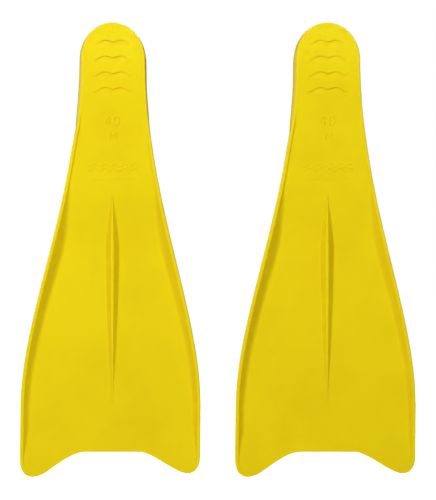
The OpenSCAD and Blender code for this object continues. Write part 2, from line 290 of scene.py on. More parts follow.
def place(points, foot):
    """Stands a flat fin's points up: s runs down from the heel, h runs back from the sole."""
    mount = next(m for m in frame["record"]["mounts"] if m["name"] == f"{foot}_foot_pocket")
    keel_x, _, seat_z = mount["pos_m"]
    sole_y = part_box(f"{foot}_sole")[0].y
    x, s, h = np.moveaxis(np.asarray(points, float), -1, 0) * MM
    return np.stack([keel_x + x, sole_y + h, seat_z + HEEL_SEAT * MM - s], axis=-1)


def make_piece(name, foot, shape, material, masks=None, sharp=40):
    """Mesh object from points and faces: doubles merged, faces outward, sharp edges kept."""
    points, faces = shape
    mesh = bpy.data.meshes.new(f"{foot}_{name}")
    mesh.from_pydata(place(points, foot).tolist(), [], [list(f) for f in faces])
    for label, values in (masks or {}).items():
        layer = mesh.attributes.new(label, "FLOAT", "POINT")
        layer.data.foreach_set("value", np.asarray(values, np.float32).ravel())
    work = bmesh.new()
    work.from_mesh(mesh)
    bmesh.ops.remove_doubles(work, verts=work.verts, dist=2e-6)
    bmesh.ops.dissolve_degenerate(work, edges=work.edges, dist=1e-6)
    bmesh.ops.recalc_face_normals(work, faces=work.faces)
    work.to_mesh(mesh)
    work.free()
    mesh.shade_smooth()
    mesh.set_sharp_from_angle(angle=math.radians(sharp))
    mesh.materials.append(material)
    piece = bpy.data.objects.new(f"{foot}_{name}", mesh)
    bpy.context.scene.collection.objects.link(piece)
    return piece


def bend_with(piece):
    """Bakes a piece's placement into its mesh; the piece is not bent."""
    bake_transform(piece)


# ---------------------------------------------------------------- lower skin and blade

def half_columns():
    """Columns from the side edge in to the keel, as (kind, share of that kind's width)."""
    turn = np.radians(np.linspace(0, 90, 6))
    edge = [("edge", 1 - math.cos(a)) for a in turn]
    strip = [("strip", t) for t in (0.3, 0.6, 0.85, 0.97)]
    slope = [("slope", t) for t in np.linspace(0, 1, 21)]
    panel = [("panel", t) for t in np.linspace(0, 1, 18)[1:]]
    keel = [("keel", t) for t in (0.02, 0.05, 0.12, 0.35, 0.6, 0.78, 0.83, 0.86, 0.9, 1.0)]
    return edge + strip + slope + panel + keel


COLUMNS = half_columns()
KIND = np.array([kind for kind, _ in COLUMNS])
SHARE = np.array([share for _, share in COLUMNS])


def inset_of(s, width, keel_s=None):
    """Distance of every column from the side edge at station s, for a fin so wide there."""
    s, width = np.asarray(s)[..., None], np.asarray(width)[..., None]
    keel_s = s if keel_s is None else np.asarray(keel_s)[..., None]
    tight = np.minimum(1, width / NARROW)
    strip, slope = strip_width(s) * tight, slope_width(s) * tight
    rounding = EDGE_ROUND * tight
    keel = np.maximum(KEEL_HALF * keel_shape(keel_s), 1.5) * tight
    inner = strip + slope
    return np.select(
        [KIND == "edge", KIND == "strip", KIND == "slope", KIND == "panel"],
        [rounding * SHARE, mix(rounding, strip, SHARE), strip + slope * SHARE,
         mix(inner, width - keel, SHARE)],
        mix(width - keel, width, SHARE))


def keel_rise(foot=0.05, brow=0.08):
    """Keel's side by column, as a share of its crest: a straight slope with small rounded ends."""
    t = np.clip(SHARE / 0.86, 0, 1)
    whole = 1 - foot / 2 - brow / 2
    rise = np.where(t < foot, t ** 2 / (2 * foot), t - foot / 2)
    return np.where(t > 1 - brow, whole - (1 - t) ** 2 / (2 * brow), rise) / whole


def rounded(depth_share):
    """Height lost to a quarter-round edge at a share of its radius in from the edge."""
    return 1 - np.sqrt(np.clip(1 - (1 - np.clip(depth_share, 0, 1)) ** 2, 0, 1))


def low_height(s):
    """Lower face by column: round edge, flat strip, slope with a hollow foot, panel and keel."""
    deep = recess(s)
    wide, hollow = slope_width(s), fillet(s)
    left_over = (1 - SHARE) * wide
    slope = deep - np.where(left_over < hollow, SIDE_SLOPE * left_over ** 2 / (2 * hollow),
                            SIDE_SLOPE * (left_over - hollow / 2))
    half = KEEL_HALF * keel_shape(s)
    crest = np.minimum(SIDE_SLOPE * np.maximum(half - KEEL_CREST, 0.25 * half), 0.97 * deep)
    return np.select(
        [KIND == "edge", KIND == "strip", KIND == "slope", KIND == "panel"],
        [EDGE_ROUND * rounded(SHARE) + 0 * s, 0 * s, np.maximum(slope, 0), deep + 0 * s],
        deep - crest * keel_rise())


def high_height(s):
    """Upper face by column: rounded edge, rail, slope down to the panel, low middle rib."""
    raised = ease((s - TOE_LINE + 2) / 5)
    top = mix(over(s), rail_over(s), raised)
    drop = top - over(s)
    rib = RIB_HEIGHT * rib_shape(s) * ease(SHARE / 0.9)
    return np.select(
        [KIND == "edge", KIND == "strip", KIND == "slope", KIND == "panel"],
        [top - EDGE_ROUND * rounded(SHARE), top, top - drop * ease(SHARE ** 0.8), over(s) + 0 * s],
        over(s) + rib)


def both_sides(values):
    """Row from one edge to the other, from a row that runs from an edge to the keel."""
    return np.concatenate([values, values[..., -2::-1]], axis=-1)


def sole_rows():
    """Stations of the front piece: close at the heel's round and at each groove, even after."""
    heel = 1 + (HEEL_ROUND - 1) * (1 - np.cos(np.radians(np.linspace(0, 62, 16))))
    near = np.array([-3, -1.5, -0.5, -0.1, 0.1, 0.2, 0.3, 0.42, 0.8, 1.3, 1.9, 2.6, 3.4, 4.2, 5.0])
    grooves = GROOVE_START + GROOVE_PITCH * np.arange(GROOVE_COUNT)[:, None] + near
    between = grooves[:, -1:] + np.array([2.4, 5.0, 7.6, 9.4])
    first = heel[heel < grooves[0, 0] - 1]
    start = between[-1, -1]
    rest = np.linspace(start, SPLIT, int((SPLIT - start) / 2.2))[1:]
    return np.concatenate([first, np.sort(np.concatenate([grooves, between], axis=1).ravel()), rest])


def sole_skin():
    """Front piece: sole, rails and blade down to the split, as a closed slab with its relief."""
    s = sole_rows()
    row = s[:, None]
    left, right = np.maximum(sole_half(s, -1), 0.01), np.maximum(sole_half(s, 1), 0.01)
    from_left, from_right = inset_of(s, left), inset_of(s, right)
    x = np.concatenate([(from_left / left[:, None] - 1) * (left - lean(s))[:, None],
                        ((1 - from_right / right[:, None]) * (right + lean(s))[:, None])[:, -2::-1]],
                       axis=1)
    low, high = both_sides(low_height(row)), both_sides(high_height(row))
    tight = np.minimum(1, left / NARROW)[:, None]
    low = np.where(both_sides(KIND == "edge"), low * tight, low)
    clear_of_edge = ease(both_sides(np.minimum(from_left, from_right)) / 9)
    window = ease((row - 8) / 12) * (1 - ease((row - 88) / 22)) * clear_of_edge
    warped = row + hump((x - 1) / GROOVE_HALF) * window
    cut = sum(groove_cut(x, row - GROOVE_START - GROOVE_PITCH * i, GROOVE_HALF + GROOVE_GROWTH * i)
              for i in range(GROOVE_COUNT))
    low = low + cut
    shape = slab(np.stack([x, warped, low], -1), np.stack([x, warped, high], -1))
    # Painted light: the sole's heel end is painted paler, fading out towards the ball.
    heel_painted_light = HEEL_PAINTED_LIGHT * (1 - ease((row - 20) / 70)) + 0 * cut
    # Painted shade: the grooves are painted darker in step with their depth.
    return shape, both_faces(lambda mask: both_sides(mask(row)), heel_painted_light, 0.9 * cut / GROOVE_DEPTH)


# The first of these paints the sole's heel end paler as painted light; the other three are rubbed
# edges.
HEEL_PAINTED_LIGHT, EDGE_RUB, STRIP_RUB, CREST_RUB = 0.8, 0.4, 0.25, 0.5


def edge_wear(s, middle):
    """Rubbed edges: the outer edge, the strip's inner edge and the crest of the middle shape."""
    crest = np.where((KIND == "keel") & (SHARE > 0.8), CREST_RUB, 0) * ease(middle(s) / 0.1)
    return np.select([KIND == "edge", KIND == "strip"], [EDGE_RUB, STRIP_RUB], 0) + crest


def slope_painted_shade(s, middle):
    """Painted shade: deeper colour laid on the rails' slopes and on the sides of the middle shape."""
    foot = np.where(KIND == "slope", ease(SHARE / 0.1) * ease((1 - SHARE) / 0.55), 0)
    foot = foot * ease((s - 110) / 60)
    side = np.where((KIND == "keel") & (SHARE > 0.04) & (SHARE < 0.8), 1.0, 0)
    return foot + side * ease(middle(s) / 0.1)


def both_faces(spread_out, extra_wear_and_painted_light, extra_painted_shade):
    """Masks of a slab: the keel is the middle shape of its lower face, and the rib of its upper.

    spread_out turns a mask by station and column into a grid of the whole slab.
    """
    masks = {}
    for label, mask, extra in (("wear", edge_wear, extra_wear_and_painted_light), ("soil", slope_painted_shade, extra_painted_shade)):
        lower = spread_out(lambda s: mask(s, keel_shape)) + extra
        upper = spread_out(lambda s: mask(s, rib_shape))
        masks[label] = np.concatenate([lower.ravel(), upper.ravel()])
    return masks


def bezier(a, b, c, d, t):
    """Cubic curve through a and d, drawn towards b and c."""
    a, b, c, d = (np.asarray(p, float) for p in (a, b, c, d))
    t = np.asarray(t)[:, None]
    return (1 - t) ** 3 * a + 3 * (1 - t) ** 2 * t * b + 3 * (1 - t) * t ** 2 * c + t ** 3 * d


def along(line, shares):
    """Points at shares of a line's length."""
    steps = np.linalg.norm(np.diff(line, axis=0), axis=1)
    run = np.concatenate([[0], np.cumsum(steps)])
    return np.stack([np.interp(shares * run[-1], run, line[:, k]) for k in (0, 1)], -1)


def tail_lines(side):
    """Outline of half a tail: its side line down to the lobe's tip, and its end from tip to keel."""
    tip = FIN_LENGTH if side < 0 else FIN_LENGTH - LOBE_STEP
    foot_x, fuller = LEFT_LOBE if side < 0 else RIGHT_LOBE
    turn_s = tip - LOBE_TURN
    turn = [lean(turn_s) + side * half_width(turn_s), turn_s]
    foot = [foot_x * side, tip - 7 + fuller]
    lobe = bezier(foot, [(foot_x + 9) * side, tip + fuller * 0.6], [turn[0], tip + 8], turn,
                  np.linspace(0, 1, 121))
    lowest = int(np.argmax(lobe[:, 1]))
    s = np.linspace(SPLIT, turn_s, 160)
    side_line = np.stack([lean(s) + side * half_width(s), s], -1)
    side_line = np.concatenate([side_line, lobe[:lowest - 1:-1][1:]])
    slope = bezier([NOTCH_FLAT * side, NOTCH_AT], [(foot_x - 32) * side, NOTCH_AT],
                   [(foot_x - 14) * side, NOTCH_AT + 14], foot,
                   np.linspace(0, 1, 80))
    end = np.concatenate([lobe[lowest::-1], slope[::-1][1:], [[0, NOTCH_AT]]])
    return side_line, end


def tail_half(side):
    """Grid of half a tail, stretched between its four border lines (a Coons patch)."""
    side_line, end = tail_lines(side)
    fine = np.array([3.4, 2.3, 1.5, 0.95, 0.55, 0.25, 0.07, 0]) / 230
    v = np.concatenate([np.linspace(0, 1 - 5 / 230, 96), 1 - fine])
    border, keel = along(side_line, v), along(np.array([[0, SPLIT], [0, NOTCH_AT]], float), v)
    width = half_width(border[:, 1])
    u = inset_of(border[:, 1], width, keel[:, 1]) / width[:, None]
    top = np.stack([mix(side_line[0, 0], 0, u), np.full_like(u, SPLIT)], -1)
    low = along(end, u.ravel()).reshape(*u.shape, 2)
    uu, vv = u[..., None], v[:, None, None]
    corners = mix(mix(border[0], keel[0], uu), mix(border[-1], keel[-1], uu), vv)
    return mix(border[:, None], keel[:, None], uu) + mix(top, low, vv) - corners, v


def tail_skin():
    """Rear piece: blade and tail from the split to the lobes, as a closed slab with its relief."""
    left, v = tail_half(-1)
    right, _ = tail_half(1)
    grid = np.concatenate([left, right[:, -2::-1]], axis=1)
    s = grid[..., 1]

    def by_column(height):
        return np.concatenate([height(left[..., 1]), height(right[..., 1])[:, -2::-1]], axis=1)

    low, high = by_column(low_height), by_column(high_height)
    (left_side, left_end), (right_side, right_end) = tail_lines(-1), tail_lines(1)
    outline = np.concatenate([left_side, left_end, right_end[::-1], right_side[::-1]])
    near = s > NOTCH_AT - 30
    gap = np.full(s.shape, FIN_LENGTH)
    spots = grid[near]
    gap[near] = np.sqrt(((spots[:, None] - outline[None]) ** 2).sum(-1)).min(1)
    lift = EDGE_ROUND * rounded(gap / EDGE_ROUND)
    edge = both_sides(KIND == "edge")[None, :]
    low = np.where(near, np.maximum(np.where(edge, 0, low), lift), low)
    high = np.where(near, np.minimum(np.where(edge, by_column(rail_over), high),
                                     by_column(rail_over)) - lift, high)
    shape = slab(np.dstack([grid, low]), np.dstack([grid, high]))
    return shape, both_faces(by_column, EDGE_RUB * ease((v[:, None] - 0.985) / 0.015), 0.0)


# ---------------------------------------------------------------- foot pocket

def arch_height(s):
    """Height of the pocket's crown, falling from the instep to the toes."""
    return mix(TOE_HEIGHT, INSTEP_HEIGHT, (np.maximum(TOE_LINE - s, 0) / 114) ** 1.25)


def shoulder(s, h):
    """How far the wall stands back above the line along which the rail climbs the pocket's side."""
    line = mix(7, 23, (np.clip(s - SIDE_LINE_START, 0, 118) / 118) ** 1.2)
    return SIDE_STEP * ease((s - SIDE_LINE_START) / 50) * ease((h - line) / 3.0)


def spine(s, a):
    """Raised band along the crown, with a soft edge on each side."""
    across = 1 - ease((np.abs(np.cos(a)) - 0.16) / 0.07)
    return SPINE_STEP * ease((s - INSTEP_PEAK + 4) / 18) * across


def arch(s, a, inset):
    """Point on the pocket's arch at angle a from the left side: a squared-off half ellipse."""
    outside = np.asarray(inset) <= 0
    across = np.abs(np.cos(a)) ** ROUND_UP
    up = np.clip(np.sin(a), 0, 1) ** ROUND_UP
    h = BELLY + (arch_height(s) - inset - BELLY) * up
    back = np.where(outside, shoulder(s, h), 0)
    h = h + np.where(outside, spine(s, a) - SPINE_STEP * ease((s - SIDE_LINE_START) / 30) * up, 0)
    wide = half_width(s) - inset - back
    return np.stack(np.broadcast_arrays(lean(s) - np.sign(np.cos(a)) * wide * across, s, h), -1)


def skirt(s, side, t, inset):
    """Point on the upright part of the pocket's side, drawn in towards the sole."""
    h = mix(np.maximum(BED, over(s)), BELLY, t)
    back = np.where(np.asarray(inset) <= 0, shoulder(s, h), 0)
    wide = half_width(s) - inset - back - pinch(s, side) * (1 - t) ** 2
    return np.stack(np.broadcast_arrays(lean(s) + side * wide, s, h), -1)


SKIRT = np.linspace(0, 1, 7)[:-1]
ANGLES = np.radians(np.concatenate([np.linspace(0, TOPLINE_ANGLE, 7),
                                    np.linspace(TOPLINE_ANGLE, 90, 27)[1:]]))
ANGLES = np.concatenate([ANGLES, math.pi - ANGLES[-2::-1]])


def rear_edge(a):
    """Station of the instep's rear edge at angle a: upright up to the topline, then forward."""
    from_side = np.degrees(np.minimum(a, math.pi - a)) - TOPLINE_ANGLE
    turn = np.radians(90 * np.clip(from_side, 0, None) / (90 - TOPLINE_ANGLE))
    return mix(JOINT_LINE, INSTEP_PEAK, np.sin(turn))


def instep_grid(inset, rows=54):
    """Rows of points over the foot, from the rear edge to the toe opening."""
    v = np.linspace(0, 1, rows)[:, None]
    side_s = mix(JOINT_LINE, TOE_LINE, v)
    top_s = mix(rear_edge(ANGLES)[None], TOE_LINE, v)
    left = skirt(side_s, -1, SKIRT[None], inset)
    right = skirt(side_s, 1, SKIRT[None, ::-1], inset)
    return np.concatenate([left, arch(top_s, ANGLES[None], inset), right], axis=1)


def topline(s, inset):
    """Height of the heel cup's edge: high at the back, lowest at the ankle."""
    outer, side = (arch(np.array(JOINT_LINE), np.radians(TOPLINE_ANGLE), d)[2] for d in (0.0, inset))
    back = mix(HEEL_HEIGHT - (outer - side), side - TOPLINE_DIP, ease(s / TOPLINE_LOW))
    rise = side - TOPLINE_DIP * (1 - ((s - TOPLINE_LOW) / (JOINT_LINE - TOPLINE_LOW)) ** 2)
    return np.where(s < TOPLINE_LOW, back, rise)


def wall_draw(s, h, side, inset):
    """How far the heel's wall lies inside its widest line, easing into the arch's own profile."""
    below = pinch(s, side) * (np.clip(BELLY - h, 0, None) / (BELLY - BED)) ** 2
    above = np.clip(h - BELLY, 0, None)
    leaning = mix(HEEL_DRAW, SIDE_DRAW, ease(s / 60))
    heel = leaning * (above / (HEEL_HEIGHT - BELLY)) ** 2
    sine = (above / (arch_height(JOINT_LINE) - inset - BELLY)) ** (1 / ROUND_UP)
    ankle = (half_width(JOINT_LINE) - inset) * (1 - np.sqrt(1 - sine ** 2) ** ROUND_UP)
    return below + mix(heel, ankle, ease((s - 40) / (JOINT_LINE - 40)))


def heel_grid(inset, columns=121):
    """Heel cup: an upright wall carried round the heel, from its left end to its right end."""
    u = np.linspace(-1, 1, columns)
    side, far = np.sign(u), np.abs(u)
    t = np.clip((far - 0.6) / 0.4, 0, 1)
    a = np.radians(np.minimum(150 * far, 90))
    s = np.where(far > 0.6, mix(HEEL_ROUND, JOINT_LINE, t), HEEL_ROUND * (1 - np.cos(a)))
    x = np.where(far > 0.6, side * half_width(s), side * flare(HEEL_ROUND) * np.sin(a))
    out = np.stack([side * HEEL_ROUND * np.sin(a), -flare(HEEL_ROUND) * np.cos(a)], -1)
    out = np.where(far[:, None] > 0.6, np.stack([side, 0 * side], -1), out)
    out /= np.linalg.norm(out, axis=1, keepdims=True)
    end_h = np.concatenate([mix(BED, BELLY, SKIRT),
                            arch(np.array(JOINT_LINE), ANGLES[:7], inset)[:, 2]])
    share = np.clip((end_h - BELLY) / (end_h[-1] - BELLY), 0, None)
    top = topline(s, inset)[:, None]
    h = np.where(end_h < BELLY, end_h, mix(BELLY, top, share))
    inward = inset + wall_draw(s[:, None], h, side[:, None], inset)
    p = np.stack([x, s], -1)[:, None] - out[:, None] * inward[..., None]
    return np.dstack([p[..., 0] + lean(p[..., 1]), p[..., 1], h])


def pocket_shell():
    """Heel cup and instep as one closed shell: both slabs, less their end faces on the joint line."""
    heel = slab(heel_grid(0.0), heel_grid(WALL))
    foot = slab(instep_grid(0.0), instep_grid(WALL))
    points = np.concatenate([heel[0], foot[0]])
    faces = np.concatenate([heel[1], foot[1] + len(heel[0])])
    faces = faces[(np.abs(points[faces][..., 1] - JOINT_LINE) > 1e-6).any(1)]
    wear = np.zeros(len(points))
    return (points, faces), {"wear": wear, "soil": 0 * wear}


def topline_edge():
    """Middle line of the pocket's edge, its outward direction and its direction off the wall."""
    corner = len(SKIRT) + 6
    heel, heel_in = heel_grid(0.0), heel_grid(WALL)
    foot, foot_in = instep_grid(0.0), instep_grid(WALL)
    last = foot.shape[1] - 1 - corner
    over_foot = slice(last, corner - 1, -1)
    outer = np.concatenate([heel[1:-1, -1], foot[0, over_foot]])
    inner = np.concatenate([heel_in[1:-1, -1], foot_in[0, over_foot]])
    below = np.concatenate([heel[1:-1, -3], foot[2, over_foot]])
    return (outer + inner) / 2, outer - inner, outer - below


def smooth_ring(values, passes):
    """Evens out values round a closed ring by averaging each with its neighbours."""
    for _ in range(passes):
        values = (np.roll(values, 1, 0) + 2 * values + np.roll(values, -1, 0)) / 4
    return values


def topline_bead():
    """Rolled edge round the foot opening: a flattened ring section astride the shell's edge."""
    middle, out, away = (smooth_ring(v, 6) for v in topline_edge())
    out /= np.linalg.norm(out, axis=1, keepdims=True)
    away -= out * np.sum(out * away, 1, keepdims=True)
    away /= np.linalg.norm(away, axis=1, keepdims=True)
    a = np.linspace(0, 2 * math.pi, 20, endpoint=False)
    round_wide, round_tall = (np.sign(v) * np.abs(v) ** 0.8 for v in (np.cos(a), np.sin(a)))
    rings = ((middle + away * BEAD_LIFT)[:, None]
             + out[:, None] * (BEAD_WIDE * round_wide)[None, :, None]
             + away[:, None] * (BEAD_TALL * round_tall)[None, :, None])
    n, m = rings.shape[:2]
    faces = quads(n + 1, m, wrap=True) % (n * m)
    wear = np.tile(ease((np.sin(a) - 0.3) / 0.6), n) * EDGE_RUB
    return (rings.reshape(-1, 3), faces), {"wear": wear, "soil": 0 * wear}


def toe_line(inset):
    """Line over the toes at the shell's end: up one side, over the arch and down the other."""
    s = np.array([TOE_LINE])[:, None]
    left = skirt(s, -1, SKIRT[None, 2:], inset)[0]
    right = skirt(s, 1, SKIRT[None, :1:-1], inset)[0]
    return np.concatenate([left, arch(s, ANGLES[None], inset)[0], right])


def toe_rim():
    """Thick edge of the toe opening: a round section carried over the toes from rail to rail."""
    outer, inner = toe_line(0.0), toe_line(WALL)
    middle, out = (outer + inner) / 2, outer - inner
    middle[:, 1] += RIM_SEAT
    b = np.linspace(0, 2 * math.pi, 20, endpoint=False)
    grow = ease((outer[:, 2] - 23) / 7)[:, None]
    thick, long = (mix(sunk, full, grow) for sunk, full in zip(RIM_ENDS, RIM_FULL))
    section = np.stack([np.cos(b) * thick, np.sin(b) * long], -1)
    wear = np.tile(0.35 * ease((np.cos(b) - 0.2) / 0.6), len(middle))
    return sweep(middle, out, section), {"wear": wear, "soil": 0 * wear}


# ---------------------------------------------------------------- raised marks

def ridge(line, width, height, sunk=0.15):
    """Low raised stroke along points (x, s) on the sole: an ellipse across, tapered at its ends."""
    line = np.asarray(line, float)
    run = np.concatenate([[0], np.cumsum(np.linalg.norm(np.diff(line, axis=0), axis=1))])
    count = max(4, int(run[-1] / 0.8))
    spots = np.linspace(0, run[-1], count)
    x, s = (np.interp(spots, run, line[:, k]) for k in (0, 1))
    path = np.stack([x, s, recess(s) + sunk], -1)
    out = np.tile([0.0, 0.0, -1.0], (count, 1))
    a = np.linspace(0, 2 * math.pi, 8, endpoint=False)
    taper = np.clip(np.minimum(spots, run[-1] - spots) / 0.7, 0.25, 1)[:, None]
    tall, half = (height + sunk) * np.sqrt(taper), width / 2 * taper
    return sweep(path, out, np.stack([np.sin(a) * tall, np.cos(a) * half], -1))


def joined(shapes):
    """Several shapes as one list of points and faces."""
    points, faces, first = [], [], 0
    for p, f in shapes:
        points.append(p)
        faces += [[i + first for i in face] for face in f]
        first += len(p)
    return np.concatenate(points), faces


def ring_line(x, s, wide, tall):
    """Closed oval line."""
    a = np.linspace(0, 2 * math.pi, 25)
    return np.stack([x + wide / 2 * np.cos(a), s - tall / 2 * np.sin(a)], -1)


def size_marks():
    """Foot size as two numerals, and below them a size letter, in plain strokes."""
    four_bar, four_post = [[-9.2, 124], [-1.4, 124]], [[-3.6, 116.6], [-3.6, 127.4]]
    four_stem = [[-4.4, 116.8], [-9.2, 124]]
    letter = [[-2.8, 146], [-2.8, 136.6], [1.2, 142.2], [5.2, 136.6], [5.2, 146]]
    strokes = [four_stem, four_bar, four_post, ring_line(5.4, 122, 7.2, 10.8), letter]
    return joined([ridge(line, *SIZE_STROKE) for line in strokes])


def wave_marks():
    """Plain ornament across the ball: two wavy lines, and a row of short ticks below them."""
    x = np.linspace(-30, 31, 90)
    wave = 1.9 * np.sin(x / 61 * 2 * math.pi * 5)
    waves = [np.stack([x, base - wave], -1) for base in (176.4, 181.6)]
    ticks = [[[at, 192.2], [at, 195.6]] for at in np.linspace(-25, 26, 18)]
    return joined([ridge(line, *WAVE_STROKE) for line in waves]
                  + [ridge(line, *TICK_STROKE) for line in ticks])


# ---------------------------------------------------------------- materials

# Noise patterns as (scale, detail); a scale of 1000 repeats about every millimetre.
PEBBLE, RIPPLE, BROAD = (1700, 2.0), (95, 3.0), (22, 2.0)
CLOUD, SPECK, RUBBING_AND_LIGHT, SHADE_PATCHES = (14, 4.0), (420, 2.0), (160, 3.0), (60, 4.0)


def new_group(name, inputs, outputs):
    """Empty shader node group with named sockets; inputs and outputs are (name, kind, value)."""
    group = bpy.data.node_groups.new(name, "ShaderNodeTree")
    for label, kind, value in inputs:
        socket = group.interface.new_socket(label, in_out="INPUT", socket_type=f"NodeSocket{kind}")
        if value is not None:
            socket.default_value = value
    for label, kind, _ in outputs:
        group.interface.new_socket(label, in_out="OUTPUT", socket_type=f"NodeSocket{kind}")
    return group, group.nodes.new("NodeGroupInput"), group.nodes.new("NodeGroupOutput")


def add(tree, kind, **values):
    """New node with properties set by name and inputs set by socket name."""
    node = tree.nodes.new(f"ShaderNode{kind}")
    for key, value in values.items():
        if hasattr(node, key):
            setattr(node, key, value)
        else:
            node.inputs[key.replace("_", " ")].default_value = value
    return node


def math_node(tree, operation, first, second):
    """Math node fed by sockets or plain numbers."""
    node = add(tree, "Math", operation=operation)
    for socket, value in zip(node.inputs, (first, second)):
        if isinstance(value, (int, float)):
            socket.default_value = value
        else:
            tree.links.new(value, socket)
    return node.outputs[0]


def mix_colour(tree, share, first, second, how="MIX"):
    """Colour mix of two sockets or colours by a share."""
    node = add(tree, "Mix", data_type="RGBA", blend_type=how)
    for socket, value in ((node.inputs[0], share), (node.inputs[6], first), (node.inputs[7], second)):
        if isinstance(value, (int, float, tuple)):
            socket.default_value = value
        else:
            tree.links.new(value, socket)
    return node.outputs[2]


def noise(tree, vector, scale, detail, rough=0.5):
    """Noise texture on a vector."""
    node = add(tree, "TexNoise", Scale=scale, Detail=detail, Roughness=rough)
    tree.links.new(vector, node.inputs["Vector"])
    return node.outputs["Fac"]


def spread(tree, value, low, high):
    """Maps a value from low..high to 0..1, eased."""
    node = add(tree, "MapRange", interpolation_type="SMOOTHSTEP")
    node.inputs["From Min"].default_value = low
    node.inputs["From Max"].default_value = high
    tree.links.new(value, node.inputs["Value"])
    return node.outputs["Result"]


def rubber_grain_group():
    """Moulded rubber skin: fine pebble grain and faint flow ripples as a height, and a gloss mask."""
    group, take, give = new_group(
        "rubber_grain", [("Vector", "Vector", None), ("Grain", "Float", 1.0)],
        [("Height", "Float", None), ("Gloss", "Float", None)])
    pebble, ripple, broad = (noise(group, take.outputs["Vector"], scale, detail)
                             for scale, detail in (PEBBLE, RIPPLE, BROAD))
    fine = math_node(group, "MULTIPLY", pebble, take.outputs["Grain"])
    height = math_node(group, "ADD", fine, math_node(group, "MULTIPLY", ripple, 1.4))
    group.links.new(height, give.inputs["Height"])
    gloss = math_node(group, "ADD", math_node(group, "MULTIPLY", broad, 0.6),
                      math_node(group, "MULTIPLY", ripple, 0.4))
    group.links.new(gloss, give.inputs["Gloss"])
    return group


def rubber_tone_group():
    """Colour of used rubber: cloudy pigment, pale bloom on rubbed edges, painted light on the sole's
    heel end, and painted shade on slopes and in grooves.
    """
    group, take, give = new_group(
        "rubber_tone",
        [("Vector", "Vector", None), ("Pigment", "Color", (0.9, 0.7, 0.02, 1)),
         ("Deep", "Color", (0.8, 0.55, 0.01, 1)), ("Bloom", "Color", (0.95, 0.8, 0.15, 1)),
         ("Wear", "Float", 0.0), ("Soil", "Float", 0.0)],
        [("Colour", "Color", None), ("Worn", "Float", None)])
    vector = take.outputs["Vector"]
    cloud = spread(group, noise(group, vector, *CLOUD, rough=0.6), 0.35, 0.7)
    speck = spread(group, noise(group, vector, *SPECK), 0.62, 0.78)
    base = mix_colour(group, math_node(group, "MULTIPLY", cloud, 0.3),
                      take.outputs["Pigment"], take.outputs["Deep"])
    base = mix_colour(group, math_node(group, "MULTIPLY", speck, 0.12), base, take.outputs["Bloom"])
    # Pale bloom where edges are rubbed, and painted light on the sole's heel end, in patches.
    rubbed_and_lit = spread(group, noise(group, vector, *RUBBING_AND_LIGHT), 0.1, 0.6)
    worn_and_painted_light = math_node(group, "MULTIPLY", take.outputs["Wear"], rubbed_and_lit)
    base = mix_colour(group, worn_and_painted_light, base, take.outputs["Bloom"])
    # Painted shade: the deep colour laid on slopes and in grooves, in patches.
    shade_patches = spread(group, noise(group, vector, *SHADE_PATCHES), 0.0, 0.6)
    painted_shade_amount = math_node(group, "MULTIPLY", take.outputs["Soil"], shade_patches)
    base = mix_colour(group, math_node(group, "MULTIPLY", painted_shade_amount, 0.75), base, take.outputs["Deep"])
    group.links.new(base, give.inputs["Colour"])
    group.links.new(worn_and_painted_light, give.inputs["Worn"])
    return group


def rubber(name, pigment, deep, bloom, roughness, grain):
    """Satin moulded rubber: gloss varies about its roughness, and rubbed spots and the sole's
    painted-light heel end are shinier.
    """
    material = bpy.data.materials.new(name)
    material.use_nodes = True
    tree = material.node_tree
    shader = tree.nodes["Principled BSDF"]
    shader.inputs["Specular IOR Level"].default_value = 0.3
    shader.inputs["Specular Tint"].default_value = (1.0, 0.85, 0.1, 1)
    spot = add(tree, "TexCoord").outputs["Object"]
    tone, skin = tree.nodes.new("ShaderNodeGroup"), tree.nodes.new("ShaderNodeGroup")
    tone.node_tree, skin.node_tree = GROUPS["tone"], GROUPS["grain"]
    for group in (tone, skin):
        tree.links.new(spot, group.inputs["Vector"])
    for label, colour in (("Pigment", pigment), ("Deep", deep), ("Bloom", bloom)):
        tone.inputs[label].default_value = (*colour, 1)
    # The first mask holds rubbed edges and the painted light on the heel; the second holds painted
    # shade.
    for label in ("Wear", "Soil"):
        mask = add(tree, "Attribute", attribute_name=label.lower())
        tree.links.new(mask.outputs["Fac"], tone.inputs[label])
    skin.inputs["Grain"].default_value = grain
    tree.links.new(tone.outputs["Colour"], shader.inputs["Base Color"])
    varied = math_node(tree, "MULTIPLY", skin.outputs["Gloss"], GLOSS_SPREAD)
    varied = math_node(tree, "ADD", varied, roughness - GLOSS_SPREAD / 2)
    rubbed_and_lit = math_node(tree, "MULTIPLY", tone.outputs["Worn"], WORN_GLOSS)
    tree.links.new(math_node(tree, "SUBTRACT", varied, rubbed_and_lit), shader.inputs["Roughness"])
    bump = add(tree, "Bump", Strength=0.35, Distance=0.0002)
    tree.links.new(skin.outputs["Height"], bump.inputs["Height"])
    tree.links.new(bump.outputs["Normal"], shader.inputs["Normal"])
    return material


GLOSS_SPREAD, WORN_GLOSS = 0.22, 0.08
GROUPS = {"grain": rubber_grain_group(), "tone": rubber_tone_group()}
SKIN = rubber("moulded_yellow_rubber", pigment=(0.90, 0.70, 0.006), deep=(0.80, 0.56, 0.004),
              bloom=(0.97, 0.78, 0.012), roughness=0.50, grain=1.0)
SOFT = rubber("soft_pocket_rubber", pigment=(0.88, 0.68, 0.006), deep=(0.77, 0.53, 0.004),
              bloom=(0.95, 0.77, 0.02), roughness=0.46, grain=0.8)
BEAD = rubber("smooth_bead_rubber", pigment=(0.90, 0.71, 0.008), deep=(0.80, 0.57, 0.004),
              bloom=(0.96, 0.79, 0.02), roughness=0.40, grain=0.5)
MARK = rubber("raised_mark_rubber", pigment=(0.90, 0.70, 0.006), deep=(0.82, 0.58, 0.004),
              bloom=(0.96, 0.79, 0.02), roughness=0.42, grain=0.5)


# ---------------------------------------------------------------- the two fins

